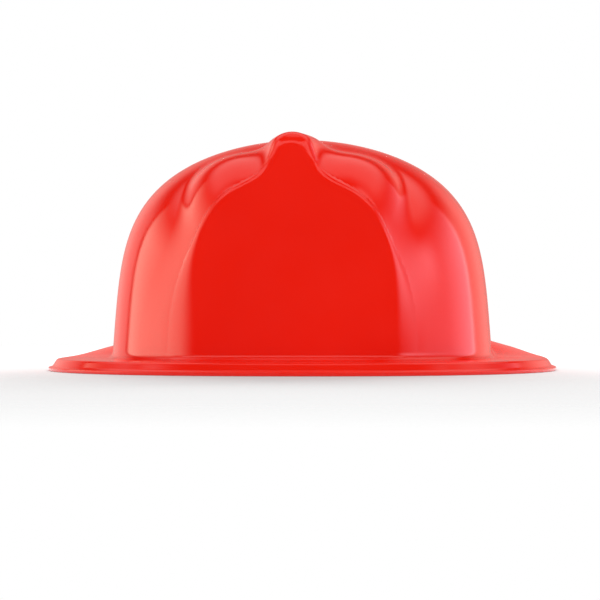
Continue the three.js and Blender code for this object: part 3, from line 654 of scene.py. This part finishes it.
def strap_frames(side, lift):
    """Fine points along a strap's middle with the outward way at each, and the two ways of its plane."""
    line = strap_line(lift)
    steps = np.concatenate([[0], np.cumsum(np.hypot(*np.diff(line, axis=0).T))])
    fine = np.arange(0, steps[-1], STRAP_STEP)
    line = np.stack([np.interp(fine, steps, line[:, k]) for k in (0, 1)], 1)
    for _ in range(2):
        line[1:-1] = (line[:-2] + 2 * line[1:-1] + line[2:]) / 4
    way = np.gradient(line, axis=0)
    way /= np.linalg.norm(way, axis=1)[:, None]
    out = np.stack([-way[:, 1], way[:, 0]], 1)
    turn = math.pi + math.radians(side * KEY_ANGLES[0])
    lead = np.array([-math.sin(turn), math.cos(turn)])
    return fine, line, out, lead, np.array([lead[1], -lead[0]])


def on_strap(position, up, lead, aside, across, height):
    """A point beside a strap's middle: across its width, and a height off its middle."""
    along, z = position + up * height
    x, y = lead * along + aside * across
    return x, y + AXIS_Y, z


def strap_piece(name, side, lift):
    fine, line, out, lead, aside = strap_frames(side, lift)
    half, thick = STRAP_WIDTH / 2, STRAP_THICKNESS / 2
    top = [(v, thick) for v in np.linspace(STRAP_EDGE - half, half - STRAP_EDGE, 9)]
    turned = [(half, thick - STRAP_EDGE), (half, STRAP_EDGE - thick)]
    section = top + turned
    section += [(-v, -t) for v, t in section]
    points, uv = [], []
    for position, distance, up in zip(line, fine, out):
        for v, t in section:
            points.append(on_strap(position, up, lead, aside, v, t))
            uv.append((distance * MM, v * MM))
    count = len(section)
    faces = grid_faces(len(line), count, closed_columns=True)
    faces += end_caps(0, count, len(points))
    return outward(make_object(name, points, faces, uv=uv))


def stitch_piece(name, side, lift):
    """Rows of thread on both faces of each end, where the strap is sewn to itself."""
    fine, line, out, lead, aside = strap_frames(side, lift)
    points, faces = [], []
    rows = [np.searchsorted(fine, d) for d in STITCH_ROWS]
    rows += [len(line) - 1 - r for r in rows]
    turns = [2 * math.pi * k / STITCH_SIDES for k in range(STITCH_SIDES)]
    shares = np.linspace(-1, 1, len(STITCH_RADII))
    for row in rows:
        position, up = line[row], out[row]
        way = np.array([up[1], -up[0]])
        for middle in STITCHES_ACROSS:
            for face in (-1, 1):
                start = len(points)
                for share, radius in zip(shares, STITCH_RADII):
                    across = middle + share * STITCH_HALF
                    for turn in turns:
                        spot = position + way * radius * math.cos(turn)
                        height = face * (STRAP_THICKNESS / 2 + STITCH_LIFT) + radius * math.sin(turn)
                        points.append(on_strap(spot, up, lead, aside, across, height))
                faces += grid_faces(len(STITCH_RADII), STITCH_SIDES, closed_columns=True, start=start)
                faces += end_caps(start, STITCH_SIDES, len(points))
    return outward(make_object(name, points, faces))


# ---------------------------------------------------------------- pads
def pad_piece(name, radius, centre_y, front, half_angle, low, high, thickness, channels):
    """A padded strip on the inside of an arc: crowned, with sewn channels across it."""
    points = []
    for i in range(PAD_SPANS):
        share = 2 * i / (PAD_SPANS - 1) - 1
        angle = math.radians(share * half_angle)
        edge = max(1 - abs(share) ** 14, 0.02) ** 0.5
        wave = abs(math.sin(math.pi * channels * (share + 1) / 2)) ** 0.4
        swell = edge * (0.55 + 0.45 * wave)
        for j in range(PAD_SIDES):
            turn = 2 * math.pi * j / PAD_SIDES
            c, s = math.cos(turn), math.sin(turn)
            up = math.copysign(abs(s) ** 0.55, s) * (high - low) / 2 * (0.9 + 0.1 * edge)
            across = math.copysign(abs(c) ** 0.75, c) * thickness / 2
            inner = (across + thickness / 2) * (swell if across > -thickness * 0.45 else 1)
            r = radius - inner
            x = math.sin(angle) * r
            y = centre_y + (-1 if front else 1) * math.cos(angle) * r
            points.append((x, y, (low + high) / 2 + up))
    faces = grid_faces(PAD_SPANS, PAD_SIDES, closed_columns=True)
    faces += end_caps(0, PAD_SIDES, len(points))
    return outward(make_object(name, points, faces))


def crown_pad_piece():
    """A round quilted pad with a hole for the rivet, dished where the rivet's head draws it in."""
    points = []
    for r, z in CROWN_PAD_PROFILE:
        for i in range(CROWN_PAD_SIDES):
            turn = 2 * math.pi * i / CROWN_PAD_SIDES
            seam = 0.5 * (1 - abs(math.sin(3 * turn)) ** 0.3) if 10 < r < 30 and z < -4 else 0
            points.append((math.cos(turn) * r, AXIS_Y + math.sin(turn) * r, STRAP_APEX - 1 + z + seam))
    faces = grid_faces(len(CROWN_PAD_PROFILE), CROWN_PAD_SIDES, closed_rows=True, closed_columns=True)
    return outward(make_object("crown_pad_cover", points, faces))


# ---------------------------------------------------------------- pieces and finishes
for name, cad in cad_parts.items():
    surface = NYLON
    if name.startswith("key_socket"):
        surface = SOCKET_RED
    elif name.startswith(("headband", "strap_tail")):
        surface = BAND
    elif "screw" in name:
        surface = STEEL
    elif name == "shell":
        surface = RED
    elif "pad" in name:
        surface = PAD_CLOTH
    elif name.startswith("crown_strap"):
        surface = WEBBING
    cad.data.materials.clear()
    cad.data.materials.append(surface)

finish_piece(shell_piece(), "helmet", RED, "red_shell", "shell")
for name, side, lift in (("crown_strap_lower", 1, 0), ("crown_strap_upper", -1, STRAP_STACK)):
    finish_piece(strap_piece(name + "_webbing", side, lift), "helmet", WEBBING, "webbing", name)
    finish_piece(stitch_piece(name + "_stitches", side, lift), "helmet", THREAD, "webbing")

brow = pad_piece(
    "brow_pad_cover",
    radius=END_RADIUS - BAND_THICKNESS - PAD_GAP,
    centre_y=BAND_Y - END_OFFSET,
    front=True,
    half_angle=50,
    low=BAND_LOW + 1,
    high=BAND_HIGH - 1,
    thickness=4.5,
    channels=7,
)
finish_piece(brow, "helmet", PAD_CLOTH, "pad", "brow_pad")
nape = pad_piece(
    "nape_pad_cover",
    radius=BASE_INNER_RADIUS - PAD_GAP,
    centre_y=0.0,
    front=False,
    half_angle=21,
    low=6,
    high=34,
    thickness=5,
    channels=3,
)
finish_piece(nape, "helmet", PAD_CLOTH, "pad", "nape_pad")
crown_pad = crown_pad_piece()
finish_piece(crown_pad, "helmet", PAD_CLOTH, "pad", "crown_pad")


# ---------------------------------------------------------------- floor, light and camera
def floor_piece():
    """A white floor that fades out into the white surroundings."""
    corners = [(x * FLOOR_HALF, y * FLOOR_HALF, FLOOR_LEVEL) for x, y in ((-1, -1), (1, -1), (1, 1), (-1, 1))]
    floor = make_object("floor", corners, [[0, 1, 2, 3]])
    made, tree, shader = material("white_floor", Roughness=0.95, Specular_IOR_Level=0.1)
    colours(tree, noise(tree, 2.0), shader, (0.63, 0.63, 0.63), (0.65, 0.65, 0.65))
    where = node(tree, "ShaderNodeTexCoord")
    far = node(tree, "ShaderNodeVectorMath", operation="LENGTH")
    fade = node(tree, "ShaderNodeMapRange")
    fade.inputs["From Min"].default_value, fade.inputs["From Max"].default_value = FLOOR_FADE
    clear = node(tree, "ShaderNodeBsdfTransparent")
    mix = node(tree, "ShaderNodeMixShader")
    tree.links.new(where.outputs["Object"], far.inputs[0])
    tree.links.new(far.outputs["Value"], fade.inputs["Value"])
    tree.links.new(fade.outputs["Result"], mix.inputs["Fac"])
    tree.links.new(shader.outputs["BSDF"], mix.inputs[1])
    tree.links.new(clear.outputs["BSDF"], mix.inputs[2])
    tree.links.new(mix.outputs["Shader"], tree.nodes["Material Output"].inputs["Surface"])
    floor.data.materials.append(made)


def studio():
    """Even white light, a soft box behind the helmet, and soft lights that only reflections show."""
    world = bpy.data.worlds.new("studio")
    bpy.context.scene.world = world
    world.use_nodes = True
    tree = world.node_tree

    def math_node(operation, *values):
        made = tree.nodes.new("ShaderNodeMath")
        made.operation = operation
        for socket, value in zip(made.inputs, values):
            if isinstance(value, float):
                socket.default_value = value
            else:
                tree.links.new(value, socket)
        return made.outputs["Value"]

    def rise(value, start, end):
        made = node(tree, "ShaderNodeMapRange", interpolation_type="SMOOTHSTEP")
        made.inputs["From Min"].default_value, made.inputs["From Max"].default_value = start, end
        tree.links.new(value, made.inputs["Value"])
        return made.outputs["Result"]

    def both(*shares):
        made = shares[0]
        for share in shares[1:]:
            made = math_node("MULTIPLY", made, share)
        return made

    where = node(tree, "ShaderNodeTexCoord")
    split = node(tree, "ShaderNodeSeparateXYZ")
    tree.links.new(where.outputs["Generated"], split.inputs[0])
    x, y, z = (split.outputs[k] for k in "XYZ")
    # Degrees round from the front, positive to the right.
    turn = math_node("MULTIPLY", math_node("ARCTAN2", x, math_node("MULTIPLY", y, -1.0)), 180 / math.pi)
    around = math_node("ABSOLUTE", turn)
    # Each light's share of the surroundings, colour and brightness.
    lamps = [
        (
            both(rise(turn, -52.0, -88.0), rise(turn, -131.0, -129.0), rise(z, 0.6, 0.26)),
            (1, 0.92, 0.74),
            2.3,
        ),
        (
            both(rise(turn, 62.0, 132.0), rise(turn, 139.0, 136.0), rise(z, 0.62, 0.2)),
            (1, 0.68, 0.8),
            2.0,
        ),
        (
            both(rise(turn, 62.0, 80.0), rise(turn, 108.0, 88.0), rise(z, 0.05, 0.28), rise(z, 0.5, 0.3)),
            (1, 0.8, 0.92),
            2.4,
        ),
        (
            both(rise(around, 133.0, 135.0), rise(around, 176.0, 152.0), rise(z, 0.5, 0.3)),
            (1, 0.62, 0.55),
            0.6,
        ),
        (both(rise(around, 133.0, 135.0), rise(z, 0.55, 0.1)), (1, 0.5, 0.45), 0.6),
        (both(rise(y, 0.05, -0.05), rise(z, 0.48, 0.56), rise(z, 0.8, 0.7)), WARM_WHITE, 1.5),
        (both(rise(y, -0.05, 0.2), rise(z, 0.5, 0.66), rise(z, 0.98, 0.9)), WARM_WHITE, 0.9),
        (rise(z, 0.93, 0.98), WARM_WHITE, 0.8),
    ]
    mirrored = None
    for share, colour, glow in lamps:
        lamp = node(tree, "ShaderNodeBackground", Color=(*colour, 1))
        tree.links.new(math_node("MULTIPLY", share, glow), lamp.inputs["Strength"])
        if mirrored is None:
            mirrored = lamp.outputs["Background"]
            continue
        added = node(tree, "ShaderNodeAddShader")
        tree.links.new(mirrored, added.inputs[0])
        tree.links.new(lamp.outputs["Background"], added.inputs[1])
        mirrored = added.outputs["Shader"]
    ambient = tree.nodes["Background"]
    ambient.inputs["Color"].default_value = (1, 1, 1, 1)
    ambient.inputs["Strength"].default_value = 1.0
    shown = node(tree, "ShaderNodeBackground", Color=(1, 1, 1, 1), Strength=1.0)
    path = node(tree, "ShaderNodeLightPath")
    first, second = node(tree, "ShaderNodeMixShader"), node(tree, "ShaderNodeMixShader")
    tree.links.new(path.outputs["Is Glossy Ray"], first.inputs["Fac"])
    tree.links.new(ambient.outputs["Background"], first.inputs[1])
    tree.links.new(mirrored, first.inputs[2])
    tree.links.new(path.outputs["Is Camera Ray"], second.inputs["Fac"])
    tree.links.new(first.outputs["Shader"], second.inputs[1])
    tree.links.new(shown.outputs["Background"], second.inputs[2])
    tree.links.new(second.outputs["Shader"], tree.nodes["World Output"].inputs["Surface"])

    data = bpy.data.lights.new("rear_softbox", "AREA")
    data.shape, data.energy = "RECTANGLE", SOFTBOX_POWER
    data.size, data.size_y = SOFTBOX_SIZE
    lamp = bpy.data.objects.new("rear_softbox", data)
    lamp.location = SOFTBOX_PLACE
    lamp.rotation_euler = (Vector(SOFTBOX_AIM) - lamp.location).to_track_quat("-Z", "Y").to_euler()
    lamp.visible_glossy = False
    bpy.context.scene.collection.objects.link(lamp)
    bpy.context.scene.view_settings.view_transform = "Standard"


def camera():
    turn = math.radians(CAMERA_TURN)
    axis = Vector((0, AXIS_Y * MM, 0))
    out = Vector((math.sin(turn), -math.cos(turn), 0))
    right = Vector((math.cos(turn), math.sin(turn), 0))
    data = bpy.data.cameras.new("camera")
    data.sensor_width, data.lens = 36, CAMERA_LENS
    view = bpy.data.objects.new("camera", data)
    view.location = axis + out * CAMERA_DISTANCE + Vector((0, 0, CAMERA_RISE))
    left, up = CAMERA_AIM
    aim = axis - right * left + Vector((0, 0, up))
    view.rotation_euler = (aim - view.location).to_track_quat("-Z", "Y").to_euler()
    bpy.context.scene.collection.objects.link(view)
    bpy.context.scene.camera = view


floor_piece()
studio()
camera()
